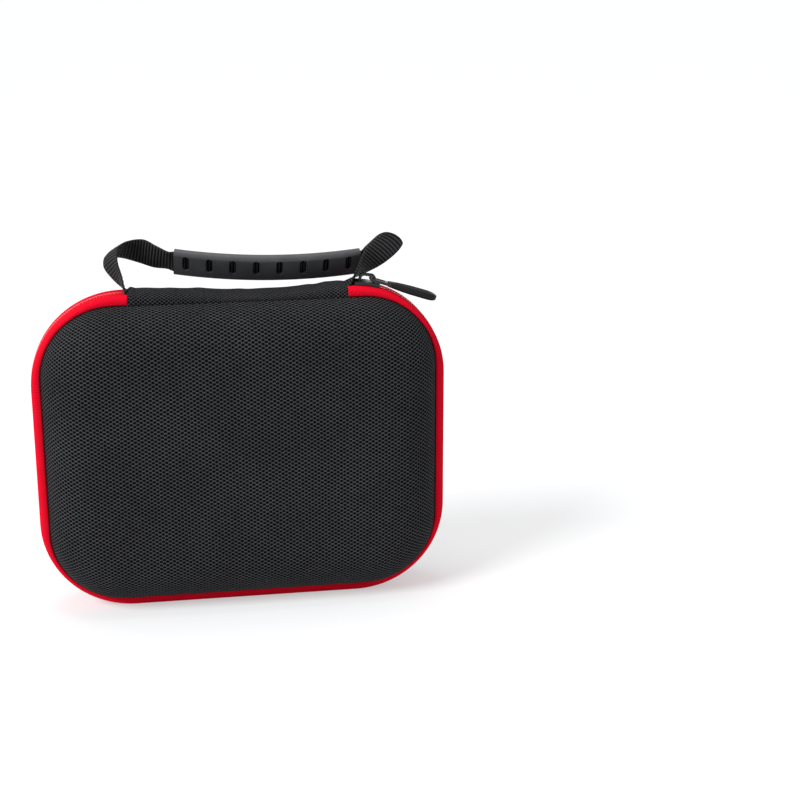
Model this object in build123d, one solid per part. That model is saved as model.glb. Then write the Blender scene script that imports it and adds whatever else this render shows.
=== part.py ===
from build123d import *
import os
from math import asin, cos, degrees, radians, sin

os.makedirs("parts", exist_ok=True)

# Zip-up hard-shell carrying case for a handheld game console.
# It stands on its zip band: X across the front, Y from front to back, Z up, millimetres.

# Moulded shells, two equal halves
shell_width = 200.0
shell_height = 156.5
shell_depth = 58.0
shell_corner = 37.5
shell_rounding = 25.0
shell_wall = 4.0
face_crown = 1400.0

# Band round the rim: zip tapes sewn over the shells' flanges
band_half = 8.8
band_rise = 4.5
band_shoulder = 1.2
cloth_thickness = 1.2
rim_half_gap = 5.2
spine_half = 55.0
corner_margin = 2.5

# Zip coil
coil_half = 1.6
coil_height = 2.0
coil_gap = 0.1

# Zip slider, which rides on the band
slider_length = 13.5
slider_half_lead = 4.7
slider_half_tail = 3.7
slider_corner = 1.2
slider_plate = 1.3
slider_clearance = 0.35
slider_start = 0.9
wedge_half = 1.2
wedge_length = 3.6
bridge_half = 1.2
bridge_length = 8.6
bridge_height = 4.0
bridge_bar = 1.2

# Pull
pull_droop = 9.0
pull_pin_radius = 0.75
pull_pin_clearance = 0.35
pull_arm = 1.0
pull_arm_gap = 0.4
pull_link_length = 9.0
pull_tab_length = 26.5
pull_tab_width = 7.6
pull_tab_thickness = 4.2
pull_tab_overlap = 2.6
tab_edge = 1.5
tab_groove_count = 3
tab_groove_width = 0.9
tab_groove_depth = 0.5

# Carrying handle: a webbing strap through a moulded grip, lying back from the spine
strap_width = 13.0
strap_thickness = 1.6
strap_tail = 10.0
strap_clearance = 0.3
tail_shift = 1.0
handle_lean = 60.0
handle_foot_y = 4.2
handle_foot_rise = 1.7
grip_left_inset = 24.5
grip_right_inset = -8.6
grip_left_lift = 17.3
grip_right_lift = 12.9
grip_sag = 4.8
grip_width = 15.6
grip_thickness = 5.0
grip_corner = 2.2
grip_channel_clearance = 0.25
slot_count = 8
slot_width = 3.4
slot_length = 9.2
slot_edge = 1.6
slot_margin = 6.2

# Inside: foam cradle in the back half, net pocket in the lid
lining_clearance = 0.3
cradle_depth = 7.4
cradle_floor = 1.8
console_width = 152.0
console_height = 96.0
console_corner = 12.0
scoop_radius = 8.0
scoop_depth = 3.5
pocket_height = 96.0
pocket_inset = 13.0
net_thickness = 0.8
hem_height = 8.0
hem_thickness = 2.0

# Places that follow from the sizes
centre_z = band_rise + shell_height / 2
band_top = shell_height + 2 * band_rise
arc_start = spine_half + corner_margin
band_corner = shell_width / 2 + band_rise - arc_start
arc_centre = Vector(arc_start, 0, band_top - band_corner)
flange_rise = band_rise - cloth_thickness
flange_corner = band_corner - cloth_thickness
flange_half = band_half - cloth_thickness
grip_left = grip_left_inset - spine_half
grip_right = spine_half - grip_right_inset
cradle_front = shell_depth / 2 - shell_wall - lining_clearance - cradle_depth
recess_depth = cradle_depth - cradle_floor

# Stations of the strap's loops from the spine's end to the grip, chosen by eye: outwards from the
# spine's end, back from the middle and rise above the band, then the webbing's width direction
left_loop = (
    (3.1, 4.0, 5.3, (0.12, 0.84, -0.53)),
    (6.3, 6.5, 10.7, (0.37, 0.74, -0.57)),
    (7.4, 9.5, 14.3, (0.52, 0.64, -0.56)),
    (6.4, 14.5, 16.9, (0.48, 0.70, -0.53)),
    (0.7, 19.5, 17.3, (0.22, 0.63, -0.74)),
    (-8.2, 21.5, 15.8, (0.14, 0.21, -0.97)),
    (-14.9, 20.5, 13.0, (0.11, 0.38, -0.92)),
    (-21.1, 19.5, 11.1, (0.05, 0.61, -0.79)),
)
right_loop = (
    (7.8, 5.0, 5.3, (0.33, 0.84, -0.43)),
    (13.2, 8.8, 9.4, (0.62, 0.46, -0.63)),
    (18.2, 9.5, 13.9, (0.75, -0.03, -0.66)),
    (23.1, 10.8, 17.8, (0.77, -0.15, -0.62)),
    (26.0, 13.2, 19.8, (0.82, 0.26, -0.51)),
    (22.9, 16.0, 17.5, (0.77, 0.31, -0.56)),
    (15.1, 16.2, 11.5, (0.47, 0.49, -0.73)),
)


def slab(grow, corner, y_from, y_to):
    """Rounded-rectangle block that stands `grow` outside the shells' wall."""
    plane = Plane(origin=(0, y_from, centre_z), x_dir=(1, 0, 0), z_dir=(0, 1, 0))
    face = RectangleRounded(shell_width + 2 * grow, shell_height + 2 * grow, corner)
    return extrude(plane * face, y_to - y_from)


def block(x_span, y_span, z_span):
    """Plain box between two values on each axis."""
    size = [span[1] - span[0] for span in (x_span, y_span, z_span)]
    middle = [(span[0] + span[1]) / 2 for span in (x_span, y_span, z_span)]
    return Pos(*middle) * Box(*size)


def dome(inset):
    """Back half of the case as a crowned, rounded solid, `inset` inside the outer skin."""
    half_depth = shell_depth / 2 - inset
    body = slab(-inset, shell_corner - inset, 0, half_depth)
    crown = Pos(0, shell_depth / 2 - face_crown, centre_z) * Sphere(face_crown - inset)
    body = body & crown
    face = body.faces().sort_by(Axis.Y)[-1]
    return fillet(face.edges(), shell_rounding - inset)


def shoulder(body):
    """Round the outer edge of the band's back side."""
    face = body.faces().filter_by(Axis.Y).sort_by(Axis.Y)[-1]
    return fillet(face.outer_wire().edges(), band_shoulder)


def make_back_shell():
    """Moulded half shell with the flange that the zip tape is sewn to."""
    walls = dome(0) - dome(shell_wall)
    walls -= slab(band_rise, band_corner, -1, rim_half_gap)
    flange = slab(flange_rise, flange_corner, rim_half_gap, flange_half)
    flange -= slab(-shell_wall, shell_corner - shell_wall, 0, band_half)
    return walls + flange


def spine_gap():
    """The stretch between the zip's two ends, along the top."""
    return block((-spine_half, spine_half), (-2 * band_half, 2 * band_half), (centre_z, 2 * band_top))


def make_back_tape():
    """Zip tape that covers the flange and reaches to the coil."""
    tape = shoulder(slab(band_rise, band_corner, coil_half, band_half))
    tape -= slab(flange_rise, flange_corner, 0, flange_half)
    tape -= slab(0, shell_corner, 0, 2 * band_half)
    return tape - spine_gap()


def make_back_coil():
    """Half of the zip's coil, from behind the slider round to the spine's other end."""
    coil = slab(band_rise, band_corner, coil_gap / 2, coil_half)
    coil -= slab(band_rise - coil_height, band_corner - coil_height, 0, band_half)
    open_end = arc_start + slider_start + wedge_length + 2 * slider_clearance
    lead = block((spine_half, open_end), (-band_half, band_half), (centre_z, 2 * band_top))
    return coil - spine_gap() - lead


def cover_strip(rise, ceiling, x_span):
    """Cloth along the top, over both flanges: heights of its outside and underside above the wall."""
    plane = Plane(origin=(x_span[0], 0, band_rise + shell_height), x_dir=(0, 1, 0), z_dir=(1, 0, 0))
    outside = Pos(0, rise / 2) * Rectangle(2 * band_half, rise)
    outside = fillet(outside.vertices().group_by(Axis.Y)[-1], band_shoulder)
    inside = Pos(0, ceiling / 2) * Rectangle(2 * flange_half, ceiling)
    return extrude(plane * (outside - inside), x_span[1] - x_span[0])


def make_spine():
    """Fabric hinge: a sewn strip with a raised pocket at each end over the strap's tail."""
    ceiling = band_rise + strap_thickness + 2 * strap_clearance
    raised = ceiling + cloth_thickness
    pocket = spine_half - strap_tail - 2 * strap_clearance
    spine = cover_strip(band_rise, flange_rise, (-pocket, pocket))
    for side in (-1, 1):
        mouth = sorted((side * pocket, side * spine_half))
        stop = sorted((side * (pocket - cloth_thickness), side * pocket))
        spine += cover_strip(raised, ceiling, mouth)
        spine += cover_strip(raised, flange_rise, stop)
    return spine


def arc_angle(length):
    """Degrees round the band's corner for a length along its outside."""
    return degrees(length / band_corner)


def arc_bar(half_width, low, high, start, length):
    """Bar bent round the top right corner, from `low` to `high` beyond the band's outside."""
    plane = Plane(origin=arc_centre, x_dir=(0, 1, 0), z_dir=(1, 0, 0))
    middle = band_corner + (low + high) / 2
    section = plane * (Pos(0, middle) * Rectangle(2 * half_width, high - low))
    axis = Axis(arc_centre, (0, 1, 0))
    return revolve(section, axis, arc_angle(length)).rotate(axis, arc_angle(start))


def slider_plane():
    """On the band's outside, under the slider's middle: x along the zip, z outwards."""
    turn = radians(arc_angle(slider_start + slider_length / 2))
    outward = Vector(sin(turn), 0, cos(turn))
    along = Vector(cos(turn), 0, -sin(turn))
    return Plane(origin=arc_centre + outward * band_corner, x_dir=along, z_dir=outward)


def make_slider():
    """Cast slider: two plates round the coil, the wedge that joins them and the bridge."""
    top = slider_clearance + slider_plate
    coil_floor = -coil_height - slider_clearance
    bottom = coil_floor - slider_plate
    lips = -cloth_thickness - slider_clearance
    upper = arc_bar(slider_half_lead, slider_clearance, top, slider_start, slider_length)
    lower = arc_bar(slider_half_lead, bottom, lips, slider_start, slider_length)
    lower -= arc_bar(coil_half + slider_clearance, coil_floor, 0, slider_start, slider_length)
    half = slider_length / 2
    plan = make_face(
        Polyline(
            (-half, -slider_half_lead),
            (0, -slider_half_lead),
            (half, -slider_half_tail),
            (half, slider_half_tail),
            (0, slider_half_lead),
            (-half, slider_half_lead),
            close=True,
        )
    )
    plan = fillet(plan.vertices(), slider_corner)
    outline = extrude(slider_plane() * plan, band_half, both=True)
    wedge = arc_bar(wedge_half, bottom, top, slider_start, wedge_length)
    return ((upper + lower + wedge) & outline) + make_bridge(top)


def make_bridge(top):
    """Arched loop on the slider that the pull hangs from."""
    sunk = slider_plate / 2
    arch = RectangleRounded(bridge_length, 2 * bridge_height, bridge_height / 2)
    eye_half = bridge_height - bridge_bar
    eye = RectangleRounded(bridge_length - 2 * bridge_bar, 2 * eye_half, eye_half / 2)
    foot = Pos(0, -bridge_height - sunk) * Rectangle(2 * bridge_length, 2 * bridge_height)
    seat = slider_plane() * Location((0, 0, top)) * Rot(90, 0, 0)
    return extrude(seat * (arch - eye - foot), bridge_half, both=True)


def pull_plane():
    """At the middle of the pull's pin: x along the pull, z away from the band."""
    seat = slider_clearance + slider_plate
    eye_end = bridge_length / 2 - bridge_bar
    pin_x = eye_end - pull_pin_radius - pull_pin_clearance
    pin_z = seat + (bridge_height - bridge_bar) / 2
    return slider_plane() * Location((pin_x, 0, pin_z), (0, pull_droop, 0))


def make_pull_link():
    """Metal link: a pin through the bridge, two arms and the tongue that holds the tab."""
    arm_inside = bridge_half + pull_arm_gap
    half = arm_inside + pull_arm
    pin = Rot(90, 0, 0) * Cylinder(pull_pin_radius, 2 * half)
    plate_half = pull_pin_radius
    tongue_start = bridge_length - bridge_bar
    arm_length = pull_link_length + pull_tab_overlap
    link = pin
    for side in (-1, 1):
        arm_span = sorted((side * arm_inside, side * half))
        link += block((0, tongue_start), arm_span, (-plate_half, plate_half))
    link += block((tongue_start, arm_length), (-half, half), (-plate_half, plate_half))
    return pull_plane() * link


def make_pull_tab():
    """Moulded finger tab with lengthwise grooves, on the link's tongue."""
    middle = pull_link_length + pull_tab_length / 2
    outline = SlotOverall(pull_tab_length, pull_tab_width)
    tab = extrude(outline, pull_tab_thickness / 2, both=True)
    tab = fillet(tab.faces().filter_by(Axis.Z).edges(), tab_edge)
    groove = SlotOverall(pull_tab_length - 2 * pull_tab_width, tab_groove_width)
    face = pull_tab_thickness / 2
    pitch = (pull_tab_width - 2 * tab_edge) / tab_groove_count
    for index in range(tab_groove_count):
        offset = (index - (tab_groove_count - 1) / 2) * pitch
        for side in (-1, 1):
            cut = extrude(groove, tab_groove_depth, both=True)
            tab -= Pos(0, offset, side * face) * cut
    return pull_plane() * Pos(middle, 0, 0) * tab - make_pull_link()


def handle_plane():
    """Plane that the handle lies in: x to the right, y up along the handle, z to its front."""
    lean = radians(handle_lean)
    foot = (0, handle_foot_y, band_top + handle_foot_rise)
    return Plane(origin=foot, x_dir=(1, 0, 0), z_dir=(0, -cos(lean), sin(lean)))


def grip_arc():
    """Centre, radius and opening angle of the grip's curve, and its left end, in the handle's plane."""
    left = Vector(grip_left, grip_left_lift)
    right = Vector(grip_right, grip_right_lift)
    chord = right - left
    radius = (chord.length**2 / 4 + grip_sag**2) / (2 * grip_sag)
    upward = Vector(-chord.Y, chord.X) / chord.length
    centre = (left + right) / 2 + upward * (radius - grip_sag)
    return centre, radius, degrees(2 * asin(chord.length / (2 * radius))), left


def grip_mouth(side):
    """Middle of the grip's left (-1) or right (+1) end, and the direction into it."""
    centre, radius, angle, left = grip_arc()
    turn = angle if side > 0 else 0
    outward = (left - centre).normalized().rotate(Axis.Z, turn)
    inward = Vector(-outward.Y, outward.X) * -side
    end = centre + outward * radius
    plane = handle_plane()
    return plane.from_local_coords(end), plane.x_dir * inward.X + plane.y_dir * inward.Y


def bent_bar(section):
    """Section bent along the grip's curve; its x is the curve's outside, its y the strap's width."""
    centre, _, angle, left = grip_arc()
    outward = (left - centre).normalized()
    along = Vector(-outward.Y, outward.X)
    start = Plane(origin=left, x_dir=outward, z_dir=along)
    return revolve(start * section, Axis(centre, (0, 0, 1)), angle)


def make_grip():
    """Moulded sleeve on the strap, with a row of slots through each broad side."""
    grip = bent_bar(RectangleRounded(grip_thickness, grip_width, grip_corner))
    channel_thickness = strap_thickness + 2 * grip_channel_clearance
    channel_width = strap_width + 2 * grip_channel_clearance
    grip -= bent_bar(Rectangle(channel_thickness, channel_width))
    centre, radius, angle, left = grip_arc()
    outward = (left - centre).normalized()
    slot_depth = (grip_thickness - strap_thickness - grip_channel_clearance) / 2
    cutter = extrude(SlotOverall(slot_length, slot_width, rotation=90), slot_depth, both=True)
    cutter = Pos(0, slot_edge + slot_length / 2, 0) * cutter
    margin = degrees(slot_margin / radius)
    pitch = (angle - 2 * margin) / (slot_count - 1)
    for index in range(slot_count):
        turned = outward.rotate(Axis.Z, margin + index * pitch)
        for side in (-1, 1):
            spot = centre + turned * (radius + side * grip_thickness / 2)
            edge = spot + Vector(0, 0, grip_width / 2)
            seat = Plane(origin=edge, x_dir=turned.cross(Vector(0, 0, 1)), z_dir=turned)
            grip -= seat * cutter
    return handle_plane() * grip


def strap_loop(side, route):
    """Ribbon of webbing from the spine's end to the grip, on the left (-1) or right (+1)."""
    tail_middle = band_top + strap_clearance + strap_thickness / 2
    end, inward = grip_mouth(side)
    places = [Vector(side * spine_half, tail_shift, tail_middle)]
    widths = [Vector(0, 1, 0)]
    for outwards, back, rise, width in route:
        places.append(Vector(side * (spine_half + outwards), back, band_top + rise))
        widths.append(Vector(side * width[0], width[1], width[2]))
    places.append(end)
    widths.append(-handle_plane().z_dir)
    runs = [after - before for before, after in zip(places, places[2:])]
    runs = [Vector(side, 0, 0), *runs, inward]
    sections = []
    for place, width, run in zip(places, widths, runs):
        width = width.normalized()
        along = run - width * width.dot(run)
        sections.append(Plane(place, x_dir=width, z_dir=along) * Rectangle(strap_width, strap_thickness))
    return loft(sections, ruled=True)


def make_strap():
    """Webbing through the grip, with both tails tucked under the spine's raised ends."""
    strap = handle_plane() * bent_bar(Rectangle(strap_thickness, strap_width))
    low = band_top + strap_clearance
    tail_width = (tail_shift - strap_width / 2, tail_shift + strap_width / 2)
    for side, route in ((-1, left_loop), (1, right_loop)):
        tail = sorted((side * (spine_half - strap_tail), side * spine_half))
        strap += strap_loop(side, route)
        strap += block(tail, tail_width, (low, low + strap_thickness))
    return strap


def make_cradle():
    """Moulded foam that fills the back shell, with the console's recess and two finger scoops."""
    cradle = dome(shell_wall + lining_clearance)
    cradle -= slab(band_rise, band_corner, -1, cradle_front)
    opening = Plane(origin=(0, cradle_front, centre_z), x_dir=(1, 0, 0), z_dir=(0, 1, 0))
    cradle -= extrude(opening * RectangleRounded(console_width, console_height, console_corner), recess_depth)
    for side in (-1, 1):
        scoop = Pos(side * console_width / 2, 0) * Circle(scoop_radius)
        cradle -= extrude(opening * scoop, scoop_depth)
    return cradle


def make_pocket():
    """Net pocket across the lower part of the lid, and the elastic hem along its top."""
    room = mirror(dome(shell_wall + lining_clearance), about=Plane.XZ)
    floor = band_rise + shell_wall
    hem_top = floor + pocket_height
    hem_low = hem_top - hem_height
    net_middle = -pocket_inset
    net_span = (net_middle - net_thickness / 2, net_middle + net_thickness / 2)
    hem_span = (net_middle - hem_thickness / 2, net_middle + hem_thickness / 2)
    across = (-shell_width, shell_width)
    net = room & block(across, net_span, (floor, hem_low))
    hem = room & block(across, hem_span, (hem_low, hem_top))
    return net, hem


def write(solids):
    """Write each named piece to its own file."""
    for name, solid in solids.items():
        export_step(solid, f"parts/{name}.step")


back_shell = make_back_shell()
back_tape = make_back_tape()
back_coil = make_back_coil()
net, hem = make_pocket()
write(
    {
        "back_shell": back_shell,
        "front_shell": mirror(back_shell, about=Plane.XZ),
        "back_zip_tape": back_tape,
        "front_zip_tape": mirror(back_tape, about=Plane.XZ),
        "back_zip_coil": back_coil,
        "front_zip_coil": mirror(back_coil, about=Plane.XZ),
        "spine_strip": make_spine(),
        "zip_slider": make_slider(),
        "pull_link": make_pull_link(),
        "pull_tab": make_pull_tab(),
        "handle_grip": make_grip(),
        "handle_strap": make_strap(),
        "foam_cradle": make_cradle(),
        "mesh_pocket": net,
        "pocket_hem": hem,
    }
)
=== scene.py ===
import math

import bmesh
import bpy
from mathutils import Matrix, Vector, noise


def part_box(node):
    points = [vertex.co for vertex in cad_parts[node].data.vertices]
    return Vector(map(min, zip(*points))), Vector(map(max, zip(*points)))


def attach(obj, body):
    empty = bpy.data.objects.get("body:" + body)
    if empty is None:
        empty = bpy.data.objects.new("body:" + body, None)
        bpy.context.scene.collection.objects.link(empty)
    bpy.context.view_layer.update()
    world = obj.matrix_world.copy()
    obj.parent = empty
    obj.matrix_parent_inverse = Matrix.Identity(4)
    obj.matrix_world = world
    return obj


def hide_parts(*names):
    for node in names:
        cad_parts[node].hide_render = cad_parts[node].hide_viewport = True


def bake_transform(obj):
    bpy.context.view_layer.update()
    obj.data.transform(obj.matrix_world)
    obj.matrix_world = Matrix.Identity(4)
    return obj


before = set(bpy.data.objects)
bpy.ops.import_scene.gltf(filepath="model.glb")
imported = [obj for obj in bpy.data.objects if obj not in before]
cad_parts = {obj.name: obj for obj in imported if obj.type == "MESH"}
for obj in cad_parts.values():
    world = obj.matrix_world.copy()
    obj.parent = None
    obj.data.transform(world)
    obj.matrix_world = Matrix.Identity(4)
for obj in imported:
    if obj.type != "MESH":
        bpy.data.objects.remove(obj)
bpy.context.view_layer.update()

bl_info = {
    "name": "Zip-up console case",
    "version": (1, 0, 0),
    "blender": (4, 5, 0),
    "location": "3D View > Sidebar > Case",
    "description": "Builds the cloth, zip, handle and lining of a hard-shell case on its packed frame",
    "category": "Object",
}

MM = 0.001


# Settings that a user may change


def length(name, description, default):
    return bpy.props.FloatProperty(
        name=name, description=description, default=default, min=0.0, unit="LENGTH", precision=5
    )


def colour(name, description, default):
    return bpy.props.FloatVectorProperty(
        name=name, description=description, default=default, size=3, min=0.0, max=1.0, subtype="COLOR"
    )


class CaseSizes(bpy.types.PropertyGroup):
    """Sizes of the dressed case, in metres"""

    shell_width: length("Shell width", "Width of the moulded shells", 0.2)
    shell_height: length("Shell height", "Height of the moulded shells", 0.1565)
    shell_depth: length("Shell depth", "Depth over both shells", 0.058)
    shell_corner: length("Shell corner", "Corner radius of the shells seen from the front", 0.0375)
    shell_rounding: length("Shell rounding", "Radius from the face to the sides", 0.025)
    shell_wall: length("Shell wall", "Thickness of the laminated wall", 0.004)
    face_crown: length("Face crown", "Radius of the face's slight dome", 1.4)
    band_half: length("Band half width", "Half of the zip band's width", 0.0088)
    band_rise: length("Band rise", "How far the band stands out of the shells", 0.0045)
    band_corner: length("Band corner", "Corner radius of the band's outside", 0.047)
    spine_half: length("Spine half length", "Half of the cloth hinge's length", 0.055)
    weave_width: length("Weave repeat across", "Width of one repeat of the pierced weave", 0.0033)
    weave_height: length("Weave repeat up", "Height of one repeat of the pierced weave", 0.00202)
    tooth_pitch: length("Tooth pitch", "Distance between two teeth of the zip", 0.0015)
    strap_width: length("Strap width", "Width of the webbing", 0.013)
    strap_thickness: length("Strap thickness", "Thickness of the webbing", 0.0016)
    rib_pitch: length("Rib pitch", "Distance between the webbing's cross ribs", 0.0016)
    net_cell: length("Net cell", "Size of one cell of the pocket's net", 0.0042)


class CaseColours(bpy.types.PropertyGroup):
    """Base colours of the finishes"""

    yarn: colour("Shell yarn", "Raised threads of the shell's weave", (0.08, 0.081, 0.085))
    # Near-black painted shade in the pits between the shell's threads
    pit_shade: colour("Weave pit shade", "Holes between the shell's threads", (0.0012, 0.0012, 0.0014))
    spine: colour("Spine cloth", "Cloth of the hinge strip", (0.075, 0.075, 0.078))
    tape: colour("Zip tape", "Twill tape of the zip", (0.8, 0.005, 0.022))
    teeth: colour("Zip teeth", "Moulded teeth", (0.75, 0.02, 0.035))
    metal: colour("Slider", "Enamelled metal", (0.006, 0.006, 0.0065))
    tab: colour("Pull tab", "Moulded finger tab", (0.012, 0.012, 0.0125))
    grip: colour("Grip", "Moulded handle grip", (0.056, 0.056, 0.059))
    webbing: colour("Webbing", "Handle strap", (0.038, 0.038, 0.039))
    lining: colour("Lining", "Brushed lining and cradle", (0.03, 0.03, 0.034))
    net: colour("Net", "Pocket net and its elastic hem", (0.02, 0.02, 0.022))
    floor: colour("Floor", "Stage floor", (0.94, 0.94, 0.94))


# Material helpers


class Nodes:
    """Short hand for building one node material"""

    def __init__(self, name):
        self.material = bpy.data.materials.new(name)
        self.material.use_nodes = True
        self.tree = self.material.node_tree
        self.shader = self.tree.nodes["Principled BSDF"]

    def add(self, kind, settings=None, **inputs):
        """Add a node, set its options, and set or link its inputs by name or number."""
        made = self.tree.nodes.new(kind)
        for key, value in (settings or {}).items():
            setattr(made, key, value)
        for key, value in inputs.items():
            self.put(made, key, value)
        return made

    def put(self, made, key, value):
        """Set or link one input; i0, i1 and so on name inputs by number."""
        numbered = key[0] == "i" and key[1:].isdigit()
        socket = made.inputs[int(key[1:])] if numbered else made.inputs[key.replace("_", " ")]
        if isinstance(value, bpy.types.NodeSocket):
            self.tree.links.new(value, socket)
        elif socket.type == "RGBA" and len(value) == 3:
            socket.default_value = (*value, 1.0)
        else:
            socket.default_value = value

    def math(self, operation, first, second=0.0, clamp=False):
        made = self.add("ShaderNodeMath", {"operation": operation, "use_clamp": clamp}, i0=first, i1=second)
        return made.outputs[0]

    def vector(self, operation, first, second=(0.0, 0.0, 0.0)):
        made = self.add("ShaderNodeVectorMath", {"operation": operation}, i0=first, i1=second)
        return made.outputs["Value" if operation == "LENGTH" else "Vector"]

    def ramp(self, value, low, high, to_low=0.0, to_high=1.0):
        made = self.add(
            "ShaderNodeMapRange", {"interpolation_type": "SMOOTHSTEP"},
            i0=value, i1=low, i2=high, i3=to_low, i4=to_high,
        )
        return made.outputs[0]

    def mix(self, factor, first, second):
        made = self.add("ShaderNodeMix", {"data_type": "RGBA"}, i0=factor, i6=first, i7=second)
        return made.outputs[2]

    def noise(self, vector, scale, detail=2.0, roughness=0.5):
        made = self.add("ShaderNodeTexNoise", Vector=vector, Scale=scale, Detail=detail, Roughness=roughness)
        return made.outputs["Fac"]

    def cloth_place(self):
        return self.add("ShaderNodeTexCoord").outputs["UV"]

    def solid_place(self):
        return self.add("ShaderNodeTexCoord").outputs["Object"]

    def bump(self, height, strength, distance):
        made = self.add("ShaderNodeBump", Height=height, Strength=strength, Distance=distance)
        self.put(self.shader, "Normal", made.outputs["Normal"])

    def finish(self, **inputs):
        for key, value in inputs.items():
            self.put(self.shader, key, value)
        return self.material


def tinted(rgb, factor):
    return tuple(min(1.0, channel * factor) for channel in rgb)


def pierced_weave(name, yarn, pit_shade, repeat_width, repeat_height):
    """Nylon with rows of round pits between raised threads, measured along the cloth; the pits are coloured near black
    as painted shade.
    """
    made = Nodes(name)
    place = made.cloth_place()
    wobble = made.add("ShaderNodeTexNoise", Vector=place, Scale=900.0, Detail=1.0).outputs["Color"]
    wobble = made.vector("SUBTRACT", wobble, (0.5, 0.5, 0.5))
    wobble = made.vector("MULTIPLY", wobble, (0.0005, 0.0004, 0.0))
    place = made.vector("ADD", place, wobble)
    cell = made.vector("MULTIPLY", place, (1.0 / repeat_width, 1.0 / repeat_height, 0.0))
    nearest = None
    for shift in ((0.0, 0.0, 0.0), (0.5, 0.5, 0.0)):
        local = made.vector("FRACTION", made.vector("ADD", cell, shift))
        local = made.vector("SUBTRACT", local, (0.5, 0.5, 0.0))
        local = made.vector("MULTIPLY", local, (repeat_width, repeat_height * 1.25, 0.0))
        away = made.vector("LENGTH", local)
        nearest = away if nearest is None else made.math("MINIMUM", nearest, away)
    # 1 on the raised threads, 0 in the pits, which take the painted pit shade
    thread = made.ramp(nearest, repeat_width * 0.19, repeat_width * 0.4)
    along = made.vector("MULTIPLY", place, (1.0, 0.35, 0.0))
    strands = made.noise(along, 5200.0, 2.0, 0.6)
    broad = made.noise(place, 26.0, 3.0, 0.55)
    lit = made.mix(made.ramp(strands, 0.3, 0.75), tinted(yarn, 0.6), tinted(yarn, 1.6))
    lit = made.mix(made.ramp(broad, 0.3, 0.7), made.mix(0.18, lit, pit_shade), lit)
    height = made.math("ADD", thread, made.math("MULTIPLY", strands, 0.35))
    made.bump(height, 0.75, repeat_width * 0.13)
    return made.finish(
        Base_Color=made.mix(thread, pit_shade, lit),
        Roughness=made.ramp(strands, 0.2, 0.8, 0.6, 0.8),
        Specular_IOR_Level=0.03,
    )


def twill(name, dye):
    """Zip tape: fine diagonal twill with faint darker patches."""
    made = Nodes(name)
    place = made.cloth_place()
    slanted = made.add("ShaderNodeMapping", i0=place)
    slanted.inputs["Rotation"].default_value = (0.0, 0.0, math.radians(38))
    lines = made.add(
        "ShaderNodeTexWave", {"wave_type": "BANDS", "bands_direction": "X"},
        Vector=slanted.outputs["Vector"], Scale=330.0, Distortion=1.2, Detail=1.0, Detail_Scale=3.0,
    ).outputs["Fac"]
    fibres = made.noise(made.vector("MULTIPLY", place, (1.0, 0.3, 0.0)), 6000.0, 2.0, 0.6)
    patches = made.noise(place, 45.0, 2.0, 0.5)
    shade = made.mix(lines, tinted(dye, 0.62), tinted(dye, 1.1))
    shade = made.mix(made.ramp(fibres, 0.25, 0.8), tinted(dye, 0.8), shade)
    shade = made.mix(made.ramp(patches, 0.3, 0.75), made.mix(0.12, shade, (0.25, 0.0, 0.01)), shade)
    made.bump(made.math("ADD", lines, made.math("MULTIPLY", fibres, 0.5)), 0.5, 0.00018)
    return made.finish(Base_Color=shade, Roughness=0.8, Specular_IOR_Level=0.02)


def moulded(name, base, roughness, grain, shine=0.25):
    """Moulded plastic with a fine sparked grain and faint rubbing."""
    made = Nodes(name)
    place = made.solid_place()
    speckle = made.noise(place, grain, 2.0, 0.55)
    rubbed = made.noise(place, 60.0, 4.0, 0.6)
    shade = made.mix(made.ramp(rubbed, 0.35, 0.75), tinted(base, 0.82), tinted(base, 1.2))
    made.bump(speckle, 0.25, 0.00012)
    return made.finish(
        Base_Color=shade,
        Roughness=made.ramp(rubbed, 0.25, 0.8, roughness * 0.85, roughness * 1.15),
        Specular_IOR_Level=shine,
    )


def enamel(name, base):
    """Gloss black enamel on cast metal, lighter in random smears."""
    made = Nodes(name)
    place = made.solid_place()
    peel = made.noise(place, 700.0, 1.0, 0.5)
    smear = made.noise(place, 180.0, 3.0, 0.6)
    shade = made.mix(made.ramp(smear, 0.4, 0.8), base, tinted(base, 2.4))
    made.bump(peel, 0.12, 0.0002)
    return made.finish(
        Base_Color=shade,
        Roughness=made.ramp(smear, 0.3, 0.8, 0.2, 0.36),
        Specular_IOR_Level=0.35,
        Coat_Weight=0.12,
        Coat_Roughness=0.1,
    )


def woven_webbing(name, base, rib_pitch):
    """Strap yarn: fine twisted ends along the webbing, with painted shade darkening the grooves between the cross ribs.
    """
    made = Nodes(name)
    place = made.cloth_place()
    # Mask of the grooves between the cross ribs, at the ribs' pitch
    between = made.add(
        "ShaderNodeTexWave", {"wave_type": "BANDS", "bands_direction": "X"},
        Vector=place, Scale=math.tau / (20 * rib_pitch), Distortion=0.4, Detail=1.0, Detail_Scale=4.0,
    ).outputs["Fac"]
    ends = made.add(
        "ShaderNodeTexWave", {"wave_type": "BANDS", "bands_direction": "Y"},
        Vector=place, Scale=420.0, Distortion=1.5, Detail=1.0, Detail_Scale=2.0,
    ).outputs["Fac"]
    fibres = made.noise(made.vector("MULTIPLY", place, (0.3, 1.0, 0.0)), 5200.0, 2.0, 0.6)
    shade = made.mix(ends, tinted(base, 0.4), tinted(base, 1.7))
    shade = made.mix(made.ramp(fibres, 0.25, 0.8), tinted(base, 0.7), shade)
    # Painted shade: the grooves between the ribs darken to a twentieth of the base colour
    shade = made.mix(made.ramp(between, 0.25, 0.7), shade, tinted(base, 0.05))
    made.bump(made.math("ADD", ends, fibres), 0.45, 0.00015)
    return made.finish(
        Base_Color=shade, Roughness=0.6, Specular_IOR_Level=0.1
    )


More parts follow.
